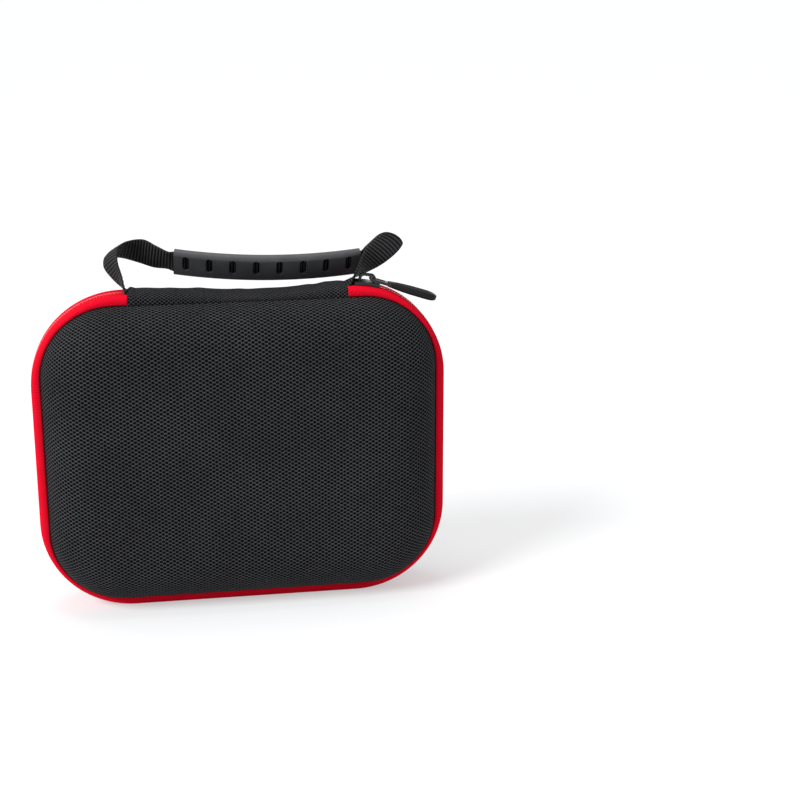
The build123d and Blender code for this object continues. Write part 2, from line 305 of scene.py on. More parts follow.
def brushed_knit(name, base):
    """Short brushed pile of the lining."""
    made = Nodes(name)
    place = made.solid_place()
    pile = made.noise(place, 2600.0, 3.0, 0.65)
    strokes = made.noise(place, 70.0, 3.0, 0.6)
    shade = made.mix(pile, tinted(base, 0.45), tinted(base, 1.4))
    shade = made.mix(made.ramp(strokes, 0.35, 0.7), tinted(base, 0.75), shade)
    made.bump(pile, 0.5, 0.0003)
    return made.finish(Base_Color=shade, Roughness=0.92, Specular_IOR_Level=0.1, Sheen_Weight=0.12, Sheen_Roughness=0.5)


# Mesh helpers


def settings():
    scene = bpy.context.scene
    return scene.case_sizes, scene.case_colours


def wear(piece, slot, *materials):
    """Give a piece its finishes; the slot is not used."""
    piece.data.materials.clear()
    for material in materials:
        piece.data.materials.append(material)


def new_piece(name, points, faces, uvs=None, groups=None):
    """Closed mesh object with outward normals, one UV per point and a material number per face."""
    mesh = bpy.data.meshes.new(name)
    mesh.from_pydata([tuple(point) for point in points], [], faces)
    if groups:
        mesh.polygons.foreach_set("material_index", groups)
    if uvs:
        layer = mesh.uv_layers.new(name="cloth")
        for loop in mesh.loops:
            layer.data[loop.index].uv = uvs[loop.vertex_index]
    work = bmesh.new()
    work.from_mesh(mesh)
    bmesh.ops.recalc_face_normals(work, faces=work.faces)
    work.to_mesh(mesh)
    work.free()
    mesh.polygons.foreach_set("use_smooth", [True] * len(mesh.polygons))
    mesh.update()
    piece = bpy.data.objects.new(name, mesh)
    bpy.context.collection.objects.link(piece)
    return piece


def band_faces(rings, size, closed, start=0):
    """Quads between neighbouring rings of equal size; `closed` joins each ring's ends."""
    faces = []
    for ring in range(rings - 1):
        low = start + ring * size
        for index in range(size if closed else size - 1):
            after = (index + 1) % size
            faces.append((low + index, low + after, low + size + after, low + size + index))
    return faces


def soft_edges(piece, width, segments=2, angle=35):
    """Rounded edges on a rigid piece that came from the frame."""
    bevel = piece.modifiers.new("soft edges", "BEVEL")
    bevel.width = width
    bevel.segments = segments
    bevel.limit_method = "ANGLE"
    bevel.angle_limit = math.radians(angle)
    bevel.harden_normals = True
    for polygon in piece.data.polygons:
        polygon.use_smooth = True


# Outline of the rim, shared by shells, tapes, teeth and spine


class Rim:
    """The case's outline seen from the front, clockwise from the middle of the top."""

    spine_steps = 44
    lead_steps = 6
    arc_steps = 26
    side_steps = 30
    foot_steps = 54

    def __init__(self, sizes):
        self.rise = sizes.band_rise
        self.spine_half = sizes.spine_half
        half_width = sizes.shell_width / 2
        half_height = sizes.shell_height / 2
        self.centre = sizes.band_rise + half_height
        self.inner, self.normals = self.walk(half_width, half_height, sizes.shell_corner)
        grown_width = half_width + sizes.band_rise
        grown_height = half_height + sizes.band_rise
        self.outer, _ = self.walk(grown_width, grown_height, sizes.band_corner)
        self.count = len(self.inner)

    def walk(self, half_width, half_height, corner):
        flat_x = half_width - corner
        flat_z = half_height - corner
        points = []
        normals = []

        def run(start, end, normal, steps):
            for step in range(steps):
                share = step / steps
                points.append(Vector(start).lerp(Vector(end), share))
                normals.append(Vector(normal))

        def turn(centre_x, centre_z, first):
            for step in range(self.arc_steps):
                angle = math.radians(first - 90 * step / self.arc_steps)
                normal = Vector((math.cos(angle), math.sin(angle)))
                points.append(Vector((centre_x, centre_z)) + normal * corner)
                normals.append(normal)

        spine = self.spine_half
        run((0, half_height), (spine, half_height), (0, 1), self.spine_steps)
        run((spine, half_height), (flat_x, half_height), (0, 1), self.lead_steps)
        turn(flat_x, flat_z, 90)
        run((half_width, flat_z), (half_width, -flat_z), (1, 0), self.side_steps)
        turn(flat_x, -flat_z, 0)
        run((flat_x, -half_height), (-flat_x, -half_height), (0, -1), self.foot_steps)
        turn(-flat_x, -flat_z, -90)
        run((-half_width, -flat_z), (-half_width, flat_z), (-1, 0), self.side_steps)
        turn(-flat_x, flat_z, 180)
        run((-flat_x, half_height), (-spine, half_height), (0, 1), self.lead_steps)
        run((-spine, half_height), (0, half_height), (0, 1), self.spine_steps)
        return points, normals

    def at(self, index, out):
        """Point `out` beyond the shells' wall: between the two outlines, or inside the wall."""
        index %= self.count
        if out > 0:
            return self.inner[index].lerp(self.outer[index], out / self.rise)
        return self.inner[index] + self.normals[index] * out

    def zip_range(self):
        """Indices from the spine's right end round to its left end."""
        return range(self.spine_steps, self.count - self.spine_steps + 1)

    def in_spine(self, index):
        index %= self.count
        return index < self.spine_steps - 1 or index > self.count - self.spine_steps + 1


# Shells


def shell_rings(sizes, rim, inset):
    """Rings of one skin from the rim to the face's middle: place, depth and cloth place for each point."""
    radius = sizes.shell_rounding - inset
    start = sizes.shell_depth / 2 - sizes.shell_rounding
    first = 0.0 if inset else math.asin((sizes.band_half - start) / radius)
    steps = 22
    rings = []
    for step in range(steps + 1):
        angle = first + (math.pi / 2 - first) * step / steps
        out = -inset - radius * (1 - math.cos(angle))
        ring = []
        for index in range(rim.count):
            spot = rim.at(index, out)
            base = rim.at(index, -sizes.shell_rounding)
            sag = spot.length_squared / (2 * sizes.face_crown)
            depth = start + radius * math.sin(angle) - sag * math.sin(angle) ** 2
            cloth = base + rim.normals[index] * radius * (math.pi / 2 - angle)
            ring.append((spot, depth, cloth))
        rings.append(ring)
    face_steps = 16
    for step in range(1, face_steps):
        share = 1 - step / face_steps
        ring = []
        for index in range(rim.count):
            spot = rim.at(index, -sizes.shell_rounding) * share
            depth = start + radius - spot.length_squared / (2 * sizes.face_crown)
            ring.append((spot, depth, spot))
        rings.append(ring)
    return rings


def build_shell(name, node, body, side):
    """One laminated half: pierced weave outside, brushed lining inside, sewn flange between."""
    sizes, colours = settings()
    rim = Rim(sizes)
    outside = shell_rings(sizes, rim, 0.0)
    inside = shell_rings(sizes, rim, sizes.shell_wall)
    flange = []
    for out, depth, low in ((-sizes.shell_wall, 5.2 * MM, 1), (2.9 * MM, 5.2 * MM, 0), (2.9 * MM, 7.4 * MM, 0),
                            (-0.2 * MM, 7.5 * MM, 1)):
        ring = []
        for index in range(rim.count):
            reach = min(out, 0.2 * MM) if rim.in_spine(index) and not low else out
            spot = rim.at(index, reach)
            ring.append((spot, depth, spot))
        flange.append(ring)
    inner_rings = [ring for ring in reversed(inside) if ring[0][1] > 5.3 * MM]
    rings = inner_rings + flange + outside
    points = []
    uvs = []
    for ring in rings:
        for spot, depth, cloth in ring:
            points.append((spot.x, side * depth, rim.centre + spot.y))
            uvs.append((cloth.x, cloth.y))
    faces = band_faces(len(rings), rim.count, True)
    lining_faces = len(inner_rings) * rim.count
    groups = [1 if index < lining_faces else 0 for index in range(len(faces))]
    for first, depth, group in ((0, -sizes.shell_wall, 1), ((len(rings) - 1) * rim.count, 0.0, 0)):
        middle = len(points)
        points.append((0, side * (sizes.shell_depth / 2 + depth), rim.centre))
        uvs.append((0.0, 0.0))
        for index in range(rim.count):
            faces.append((first + index, first + (index + 1) % rim.count, middle))
            groups.append(group)
    piece = new_piece(name, points, faces, uvs, groups)
    weave = pierced_weave(
        name + "_weave", colours.yarn, colours.pit_shade, sizes.weave_width, sizes.weave_height
    )
    wear(piece, "shell_fabric", weave, brushed_knit(name + "_lining", colours.lining))
    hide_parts(node)
    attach(piece, body)
    return piece


class CASE_OT_shells(bpy.types.Operator):
    """Laminated front and back shells with their pierced weave and lining"""

    bl_idname = "case.shells"
    bl_label = "Shells"

    def execute(self, context):
        build_shell("lid_cover", "front_shell", "lid", -1)
        build_shell("back_cover", "back_shell", "case_back", 1)
        return {"FINISHED"}


# Zip


def tape_section(sizes):
    """Outline of the tape across the band, from the seam over the shoulder to the teeth and back inside."""
    half = sizes.band_half
    rise = sizes.band_rise
    outline = [(-0.25 * MM, half - 0.25 * MM), (0.35 * MM, half + 0.12 * MM)]
    shoulder = 2.9 * MM
    for step in range(9):
        angle = math.radians(90 * step / 8)
        outline.append((rise - shoulder + shoulder * math.sin(angle), half - shoulder + shoulder * math.cos(angle)))
    outline += [(rise, 4.4 * MM), (rise, 3.0 * MM), (rise - 0.05 * MM, 2.0 * MM), (rise - 0.35 * MM, 1.7 * MM)]
    outline += [(rise - 0.9 * MM, 1.8 * MM), (3.25 * MM, 3.0 * MM), (3.2 * MM, 5.6 * MM), (2.4 * MM, 7.2 * MM)]
    outline += [(0.6 * MM, 7.9 * MM)]
    return outline


def build_tape(name, node, body, side, material):
    sizes, _ = settings()
    rim = Rim(sizes)
    section = tape_section(sizes)
    points = []
    uvs = []
    along = 0.0
    before = None
    indices = list(rim.zip_range())
    for index in indices:
        spot = rim.at(index, sizes.band_rise)
        along += (spot - before).length if before else 0.0
        before = spot
        across = 0.0
        last = None
        for out, depth in section:
            here = Vector((out, depth))
            across += (here - last).length if last else 0.0
            last = here
            spot = rim.at(index, out)
            points.append((spot.x, side * depth, rim.centre + spot.y))
            uvs.append((along, across))
    faces = band_faces(len(indices), len(section), True)
    faces.append(tuple(range(len(section))))
    faces.append(tuple(range(len(points) - len(section), len(points))))
    piece = new_piece(name, points, faces, uvs)
    wear(piece, "red_tape", material)
    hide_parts(node)
    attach(piece, body)


def zip_stations(sizes, rim, pitch, shift):
    """Evenly spaced places along the band's outside, each with its outward and onward directions."""
    indices = list(rim.zip_range())
    path = [rim.at(index, sizes.band_rise) for index in indices]
    normals = [rim.normals[index % rim.count] for index in indices]
    stations = []
    goal = shift
    walked = 0.0
    for here, after, normal, next_normal in zip(path, path[1:], normals, normals[1:]):
        step = (after - here).length
        while goal <= walked + step:
            share = (goal - walked) / step
            outward = normal.lerp(next_normal, share).normalized()
            stations.append((here.lerp(after, share), outward, Vector((outward.y, -outward.x))))
            goal += pitch
        walked += step
    return stations


def build_teeth(name, node, body, side, material):
    """Row of moulded teeth on the cord that closes the gap; the two rows mesh at half a pitch."""
    sizes, _ = settings()
    rim = Rim(sizes)
    pitch = sizes.tooth_pitch
    opened = 7.6 * MM
    shift = opened + (pitch / 2 if side > 0 else 0.0)
    sections = ((-0.55, 0.55), (-0.35, 0.95), (0.35, 1.0), (1.2, 0.8), (1.9, 0.75), (2.15, 0.45))
    corners = 8
    lowest = 0.05 * MM
    points = []
    faces = []
    for spot, outward, onward in zip_stations(sizes, rim, pitch, shift):
        first = len(points)
        for depth, swell in sections:
            for corner in range(corners):
                angle = math.tau * (corner + 0.5) / corners
                along = 0.3 * pitch * swell * math.cos(angle)
                out = 0.66 * MM * swell * math.sin(angle) - 0.36 * MM
                place = spot + onward * along + outward * out
                points.append((place.x, side * depth * MM, max(lowest, rim.centre + place.y)))
        faces += band_faces(len(sections), corners, True, first)
        faces.append(tuple(range(first, first + corners)))
        faces.append(tuple(range(len(points) - corners, len(points))))
    first = len(points)
    cord = ((0.02, -0.6), (1.6, -0.6), (1.6, -1.3), (0.02, -1.3))
    stations = zip_stations(sizes, rim, pitch, 0.0)
    for spot, outward, _ in stations:
        for depth, out in cord:
            place = spot + outward * out * MM
            points.append((place.x, side * depth * MM, rim.centre + place.y))
    faces += band_faces(len(stations), len(cord), True, first)
    faces.append(tuple(range(first, first + len(cord))))
    faces.append(tuple(range(len(points) - len(cord), len(points))))
    piece = new_piece(name, points, faces)
    wear(piece, "red_coil", material)
    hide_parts(node)
    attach(piece, body)


class CASE_OT_zip(bpy.types.Operator):
    """Both zip tapes and the two rows of teeth"""

    bl_idname = "case.zip"
    bl_label = "Zip tapes and teeth"

    def execute(self, context):
        _, colours = settings()
        tape = twill("red_twill", colours.tape)
        teeth = moulded("red_teeth", colours.teeth, 0.3, 2400.0, 0.3)
        build_tape("lid_tape", "front_zip_tape", "lid", -1, tape)
        build_tape("back_tape", "back_zip_tape", "case_back", 1, tape)
        build_teeth("lid_teeth", "front_zip_coil", "lid", -1, teeth)
        build_teeth("back_teeth", "back_zip_coil", "case_back", 1, teeth)
        return {"FINISHED"}


# Middle of the pull's pin in millimetres, and how far the pull slopes down in degrees
PULL_PIN = (67.584, 0.0, 167.564)
PULL_SLOPE = 18.326
# Finger tab in millimetres: its root's distance from the pin, its length and the radius of its tip
TAB_ROOT = 9.0
TAB_LENGTH = 26.5
TAB_TIP = 3.8


def tab_half_width(along):
    """Half of the finger tab's width at a distance from its root, in millimetres."""
    if along < 1.4:
        return 1.5 + 1.1 * math.sqrt(max(0.0, 1 - (1 - along / 1.4) ** 2))
    if along > TAB_LENGTH - TAB_TIP:
        return TAB_TIP * math.sqrt(max(0.0004, 1 - ((along - TAB_LENGTH + TAB_TIP) / TAB_TIP) ** 2))
    share = (along - 1.4) / (TAB_LENGTH - TAB_TIP - 1.4)
    return 2.6 + 1.2 * share * (2 - share)


def build_tab(colours):
    """Finger tab that widens to a round tip, with lengthwise ridges on both faces."""
    slope = math.radians(PULL_SLOPE)
    onward = Vector((math.cos(slope), 0, -math.sin(slope)))
    upward = Vector((math.sin(slope), 0, math.cos(slope)))
    pin = Vector(PULL_PIN)
    stations = [TAB_LENGTH * step / 120 for step in range(121)]
    corners = 72
    points = []
    for along in stations:
        half = tab_half_width(along)
        near_tip = min(1.0, (TAB_LENGTH - along) / 5.5)
        swell = min(1.0, along / 15.0)
        high = (1.25 + 0.85 * swell * (2 - swell)) * (0.3 + 0.7 * math.sqrt(near_tip * (2 - near_tip)))
        ridged = max(0.0, min(1.0, (along - 2.5) / 2.0, (23.5 - along) / 2.5))
        for corner in range(corners):
            angle = math.tau * corner / corners
            side = math.copysign(abs(math.cos(angle)) ** 0.6, math.cos(angle))
            face = math.copysign(abs(math.sin(angle)) ** 0.5, math.sin(angle))
            groove = 0.5 + 0.5 * math.cos(math.tau * side * 2.1)
            inner = max(0.0, 1 - (side / 0.86) ** 8) if abs(side) < 0.86 else 0.0
            rise = face * (high - 0.55 * groove * inner * ridged * abs(face))
            flank = max(0.0, abs(side) - 0.8) / 0.2
            edge_groove = 0.32 * ridged * flank * (0.5 + 0.5 * math.cos(math.tau * face * 1.6))
            place = pin + onward * (TAB_ROOT + along) + upward * rise
            place += Vector((0, side * (half - edge_groove), 0))
            points.append(place * MM)
    faces = band_faces(len(stations), corners, True)
    faces.append(tuple(range(corners)))
    faces.append(tuple(range(len(points) - corners, len(points))))
    piece = new_piece("finger_tab", points, faces)
    wear(piece, "tab_plastic", moulded("tab_satin", colours.tab, 0.4, 1500.0, 0.12))
    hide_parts("pull_tab")
    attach(piece, "pull")


class CASE_OT_slider(bpy.types.Operator):
    """Enamelled slider and link with the moulded finger tab"""

    bl_idname = "case.slider"
    bl_label = "Slider and pull"

    def execute(self, context):
        _, colours = settings()
        metal = enamel("black_enamel", colours.metal)
        for node, width in (("zip_slider", 0.3 * MM), ("pull_link", 0.22 * MM)):
            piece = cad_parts[node]
            wear(piece, "black_metal", metal)
            soft_edges(piece, width)
        build_tab(colours)
        return {"FINISHED"}


# Spine


def spine_height(x):
    """Top of the hinge cloth above the shells' wall: puffed up over the strap's tails."""
    table = (
        (-55.6, 3.4), (-54.6, 6.3), (-53.0, 7.0), (-50.6, 6.2), (-47.0, 6.2), (-36.0, 5.7), (-20.0, 5.1),
        (-6.0, 3.8), (8.0, 3.3), (24.0, 3.6), (38.0, 4.7), (46.0, 5.8), (51.0, 6.1), (54.6, 5.7), (55.6, 3.2),
    )
    for (low, first), (high, second) in zip(table, table[1:]):
        if low * MM <= x <= high * MM:
            share = (x - low * MM) / ((high - low) * MM)
            share = share * share * (3 - 2 * share)
            return (first + (second - first) * share) * MM
    return table[-1][1] * MM


def spine_point(sizes, x, across, inset):
    """A point on the hinge cloth: `across` runs from -1 at the lid's seam to 1 at the back's."""
    half = sizes.band_half + 0.15 * MM - 0.6 * inset
    top = spine_height(x)
    rise = top * (1 - abs(across) ** 2.6) - 0.3 * MM
    crease = noise.noise(Vector((x * 160, across * 1.4, 3.0))) * 0.3 * MM * (1 - across * across)
    y = half * math.sin(across * math.pi / 2) * (0.94 + 0.06 * abs(across))
    z = sizes.shell_height + sizes.band_rise + rise + crease - inset
    return (x, y, z)


def build_spine():
    """Hinge strip of cloth between the zip's ends, sewn to both shells."""
    sizes, colours = settings()
    reach = sizes.spine_half + 0.6 * MM
    steps = 150
    lanes = 34
    points = []
    uvs = []
    for inset in (0.0, 0.9 * MM):
        for step in range(steps + 1):
            x = -reach + 2 * reach * step / steps
            for lane in range(lanes + 1):
                across = -1 + 2 * lane / lanes
                points.append(spine_point(sizes, x, across, inset))
                uvs.append((x, across * 0.0105))
    size = lanes + 1
    total = size * (steps + 1)
    faces = band_faces(steps + 1, size, False)
    faces += band_faces(steps + 1, size, False, total)
    for step in range(steps):
        for lane in (0, lanes):
            a = step * size + lane
            faces.append((a, a + size, a + size + total, a + total))
    for lane in range(lanes):
        for row in (0, steps * size):
            a = row + lane
            faces.append((a, a + 1, a + 1 + total, a + total))
    piece = new_piece("spine_cloth", points, faces, uvs)
    weave = pierced_weave(
        "spine_weave", colours.spine, colours.pit_shade, sizes.weave_width * 0.7, sizes.weave_height * 0.7
    )
    wear(piece, "spine_fabric", weave)
    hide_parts("spine_strip")
    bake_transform(piece)


class CASE_OT_spine(bpy.types.Operator):
    """Cloth hinge along the top"""

    bl_idname = "case.spine"
    bl_label = "Spine cloth"

    def execute(self, context):
        build_spine()
        return {"FINISHED"}


# Handle

# Places of the webbing's two loops in millimetres: outwards from the spine's end, back, rise above
# the band, then the direction of the webbing's width
LEFT_LOOP = (
    (3.1, 4.0, 5.3, (0.12, 0.84, -0.53)),
    (6.3, 6.5, 10.7, (0.37, 0.74, -0.57)),
    (7.4, 9.5, 14.3, (0.52, 0.64, -0.56)),
    (6.4, 14.5, 16.9, (0.48, 0.70, -0.53)),
    (0.7, 19.5, 17.3, (0.22, 0.63, -0.74)),
    (-8.2, 21.5, 15.8, (0.14, 0.21, -0.97)),
    (-14.9, 20.5, 13.0, (0.11, 0.38, -0.92)),
    (-21.1, 19.5, 11.1, (0.05, 0.61, -0.79)),
)
RIGHT_LOOP = (
    (7.8, 5.0, 5.3, (0.33, 0.84, -0.43)),
    (13.2, 8.8, 9.4, (0.62, 0.46, -0.63)),
    (18.2, 9.5, 13.9, (0.75, -0.03, -0.66)),
    (23.1, 10.8, 17.8, (0.77, -0.15, -0.62)),
    (26.0, 13.2, 19.8, (0.82, 0.26, -0.51)),
    (22.9, 16.0, 17.5, (0.77, 0.31, -0.56)),
    (15.1, 16.2, 11.5, (0.47, 0.49, -0.73)),
)
# How far the middle of the webbing bulges beyond its edges at a fold, by place in the loop
LEFT_BOWS = {2: (-0.5, 0.0, 0.3), 3: (-0.5, 0.0, 0.5)}
RIGHT_BOWS = {2: (0.2, 0.0, 0.3), 3: (0.6, 0.0, 0.9), 4: (0.9, 0.0, 1.3), 5: (0.5, 0.0, 0.7)}
# Ends of the grip's middle line in the handle's own plane, across and up, and its sag
GRIP_LEFT = (-30.5, 17.3)
GRIP_RIGHT = (63.6, 12.9)
GRIP_SAG = 4.8
# Foot of the handle's plane in millimetres, and the plane's upward direction at rest
HANDLE_FOOT = (0.0, 4.2, 167.2)
HANDLE_UP = (0.0, 0.866, 0.5)


def curve_through(points, share):
    """Smooth curve through all points, for `share` from 0 to the number of spans."""
    span = min(int(share), len(points) - 2)
    t = share - span
    p1 = points[span]
    p2 = points[span + 1]
    p0 = points[span - 1] if span > 0 else p1 * 2 - p2
    p3 = points[span + 2] if span + 2 < len(points) else p2 * 2 - p1
    return (
        p1 * 2 + (p2 - p0) * t + (p0 * 2 - p1 * 5 + p2 * 4 - p3) * t * t + (p1 * 3 - p0 - p2 * 3 + p3) * t ** 3
    ) * 0.5


def grip_run(steps):
    """Places along the middle of the grip, from its left mouth to its right one, in metres."""
    lean_up = Vector(HANDLE_UP)
    foot = Vector(HANDLE_FOOT)
    left = Vector(GRIP_LEFT)
    right = Vector(GRIP_RIGHT)
    chord = right - left
    radius = (chord.length_squared / 4 + GRIP_SAG ** 2) / (2 * GRIP_SAG)
    upward = Vector((-chord.y, chord.x)) / chord.length
    centre = (left + right) / 2 + upward * (radius - GRIP_SAG)
    half = math.asin(chord.length / (2 * radius))
    places = []
    for step in range(steps + 1):
        angle = half * (2 * step / steps - 1)
        spot = centre - upward * radius * math.cos(angle) + chord.normalized() * radius * math.sin(angle)
        places.append((foot + Vector((spot.x, 0, 0)) + lean_up * spot.y) * MM)
    return places


def loop_track(sizes, side, route, bows):
    """Middles, width directions and bulges of one loop, from inside the spine to the grip's mouth."""
    top = sizes.shell_height + 2 * sizes.band_rise
    track = []
    for inset, sunk in ((5.0, 3.0), (2.0, 2.2), (-0.6, 0.2)):
        middle = Vector((side * (sizes.spine_half - inset * MM), 1.0 * MM, top - sunk * MM))
        track.append((middle, Vector((0, 1, 0)), Vector((0, 0, 0))))
    for index, (out, back, rise, width) in enumerate(route):
        middle = Vector((side * (sizes.spine_half + out * MM), back * MM, top + rise * MM))
        across = Vector((side * width[0], width[1], width[2])).normalized()
        track.append((middle, across, Vector(bows.get(index, (0, 0, 0))) * MM))
    return track


def strap_rows(sizes):
    """Cross lines of the whole strap: near edge, far edge and bulge, about a fifth of a millimetre apart."""
    across = Vector((0, 0.5, -0.866))
    track = loop_track(sizes, -1, LEFT_LOOP, LEFT_BOWS)
    track += [(middle, across, Vector((0, 0, 0))) for middle in grip_run(10)]
    track += reversed(loop_track(sizes, 1, RIGHT_LOOP, RIGHT_BOWS))
    half = sizes.strap_width / 2
    near = [middle - width * half for middle, width, _ in track]
    far = [middle + width * half for middle, width, _ in track]
    bows = [bow for _, _, bow in track]
    rows = []
    for span in range(len(track) - 1):
        steps = max(3, int((track[span + 1][0] - track[span][0]).length / (0.2 * MM)))
        for step in range(steps):
            share = span + step / steps
            rows.append([curve_through(line, share) for line in (near, far, bows)])
    return rows


def webbing_mesh(sizes):
    """Ribbed webbing: cross ribs raised on both faces, thinner rounded edges."""
    rows = strap_rows(sizes)
    centres = [(near + far) / 2 for near, far, _ in rows]
    lanes = 15
    ring = 2 * (lanes + 1)
    points = []
    uvs = []
    walked = 0.0
    for index, (near, far, bow) in enumerate(rows):
        ahead = centres[min(index + 1, len(rows) - 1)] - centres[max(index - 1, 0)]
        walked += (centres[index] - centres[index - 1]).length if index else 0.0
        normal = ahead.cross(far - near).normalized()
        wave = 0.5 + 0.5 * math.cos(math.tau * walked / sizes.rib_pitch)
        upper = []
        lower = []
        for lane in range(lanes + 1):
            share = lane / lanes
            edge = abs(2 * share - 1)
            thick = sizes.strap_thickness / 2 * (1 - 0.55 * edge ** 8)
            thick -= 0.38 * MM * (1 - wave) * (1 - edge ** 6)
            middle = near.lerp(far, share) + bow * (1 - edge * edge)
            upper.append((middle + normal * thick, (walked, share * sizes.strap_width)))
            lower.append((middle - normal * thick, (walked, share * sizes.strap_width)))
        for place, cloth in upper + lower[::-1]:
            points.append(place)
            uvs.append(cloth)
    faces = band_faces(len(rows), ring, True)
    faces.append(tuple(range(ring)))
    faces.append(tuple(range(len(points) - ring, len(points))))
    return new_piece("handle_webbing", points, faces, uvs)


def build_handle():
    sizes, colours = settings()
    strap = webbing_mesh(sizes)
    wear(strap, "webbing", woven_webbing("ribbed_webbing", colours.webbing, sizes.rib_pitch))
    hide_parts("handle_strap")
    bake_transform(strap)
    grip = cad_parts["handle_grip"]
    wear(grip, "grip_plastic", moulded("grip_satin", colours.grip, 0.42, 1300.0))
    soft_edges(grip, 0.45 * MM, 3)


class CASE_OT_handle(bpy.types.Operator):
    """Ribbed webbing loops and the moulded grip"""

    bl_idname = "case.handle"
    bl_label = "Handle"

    def execute(self, context):
        build_handle()
        return {"FINISHED"}


# Inside


def build_cradle(colours):
    """Softened copy of the foam cradle, faced with brushed knit."""
    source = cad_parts["foam_cradle"]
    piece = source.copy()
    piece.data = source.data.copy()
    piece.name = "cradle_pad"
    piece.parent = None
    bpy.context.collection.objects.link(piece)
    for kind, values in (
        ("REMESH", {"mode": "VOXEL", "voxel_size": 1.2 * MM, "use_smooth_shade": True}),
        ("SMOOTH", {"factor": 0.5, "iterations": 3}),
    ):
        modifier = piece.modifiers.new(kind.lower(), kind)
        for key, value in values.items():
            setattr(modifier, key, value)
    bpy.context.view_layer.update()
    evaluated = piece.evaluated_get(bpy.context.evaluated_depsgraph_get())
    mesh = bpy.data.meshes.new_from_object(evaluated)
    piece.modifiers.clear()
    piece.data = mesh
    wear(piece, "cradle_foam", brushed_knit("cradle_knit", colours.lining))
    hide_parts("foam_cradle")
    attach(piece, "case_back")


def build_net(sizes, colours):
    """Knotted net with open cells, stretched across the lid's lower part."""
    low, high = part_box("mesh_pocket")
    middle_y = (low.y + high.y) / 2
    cell = sizes.net_cell
    row_step = cell * 0.866
    rows = int((high.z - low.z) / row_step)
    columns = int((high.x - low.x) / cell)
    half_width = (high.x - low.x) / 2 - 0.4 * MM
    corner = 0.031
    work = bmesh.new()
    grid = {}

    def inside(x, z):
        gap_z = low.z + corner - z
        gap_x = abs(x) - (half_width - corner)
        if gap_z > 0 and gap_x > 0:
            return gap_z * gap_z + gap_x * gap_x < corner * corner
        return abs(x) < half_width and z > low.z + 0.3 * MM

    def knot(x, z):
        key = (round(x * 1e5), round(z * 1e5))
        if key not in grid:
            grid[key] = work.verts.new((x, middle_y, z))
        return grid[key]

    radius = cell / math.sqrt(3)
    for row in range(rows + 1):
        for column in range(-columns // 2 - 1, columns // 2 + 2):
            x = (column + 0.5 * (row % 2)) * cell
            z = low.z + row * row_step
            ring = []
            for corner_index in range(6):
                angle = math.radians(60 * corner_index + 30)
                ring.append((x + radius * math.cos(angle), z + radius * math.sin(angle)))
            if all(inside(*spot) and spot[1] < high.z + 1.2 * MM for spot in ring):
                work.faces.new([knot(*spot) for spot in ring])
    mesh = bpy.data.meshes.new("pocket_net")
    work.to_mesh(mesh)
    work.free()
    piece = bpy.data.objects.new("pocket_net", mesh)
    bpy.context.collection.objects.link(piece)
    wire = piece.modifiers.new("strands", "WIREFRAME")
    wire.thickness = 0.62 * MM
    wire.use_boundary = True
    wire.use_even_offset = False
    bpy.context.view_layer.update()
    evaluated = piece.evaluated_get(bpy.context.evaluated_depsgraph_get())
    made = bpy.data.meshes.new_from_object(evaluated)
    piece.modifiers.clear()
    piece.data = made
    wear(piece, "net", moulded("net_yarn", colours.net, 0.6, 3000.0))
    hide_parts("mesh_pocket")
    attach(piece, "lid")
    return piece


def build_hem(sizes, colours):
    """Elastic hem along the net's top, gathered in fine upright ribs."""
    low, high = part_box("pocket_hem")
    middle_y = (low.y + high.y) / 2
    middle_z = (low.z + high.z) / 2
    steps = 520
    section = 14
    points = []
    uvs = []
    for step in range(steps + 1):
        share = step / steps
        x = low.x + (high.x - low.x) * share
        gather = math.cos(math.tau * (x - low.x) / (1.9 * MM))
        for index in range(section):
            angle = math.tau * index / section
            flat_y = math.copysign(abs(math.sin(angle)) ** 0.6, math.sin(angle))
            flat_z = math.copysign(abs(math.cos(angle)) ** 0.35, math.cos(angle))
            thick = (0.72 + 0.16 * gather) * MM
            points.append((x, middle_y + flat_y * thick, middle_z + flat_z * (high.z - low.z) / 2))
            uvs.append((x, flat_z * 0.004))
    faces = band_faces(steps + 1, section, True)
    faces.append(tuple(range(section)))
    faces.append(tuple(range(len(points) - section, len(points))))
    piece = new_piece("pocket_elastic", points, faces, uvs)
    # The webbing finish paints shade in darker bands at the gathers' pitch
    wear(piece, "elastic", woven_webbing("woven_elastic", colours.net, 1.9 * MM))
    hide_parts("pocket_hem")
    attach(piece, "lid")
    return piece


class CASE_OT_inside(bpy.types.Operator):
    """Foam cradle, net pocket and its elastic hem"""

    bl_idname = "case.inside"
    bl_label = "Cradle and pocket"

    def execute(self, context):
        sizes, colours = settings()
        build_cradle(colours)
        net = build_net(sizes, colours)
        build_hem(sizes, colours)
        return {"FINISHED"}


# Stage


def looked_at(tree):
    """1 where the camera, a mirror-like surface or clear plastic shows the stage, 0 for its light."""
    path = tree.nodes.new("ShaderNodeLightPath")
    share = path.outputs["Is Camera Ray"]
    for name in ("Is Glossy Ray", "Is Transmission Ray"):
        either = tree.nodes.new("ShaderNodeMath")
        either.operation = "MAXIMUM"
        tree.links.new(share, either.inputs[0])
        tree.links.new(path.outputs[name], either.inputs[1])
        share = either.outputs[0]
    return share


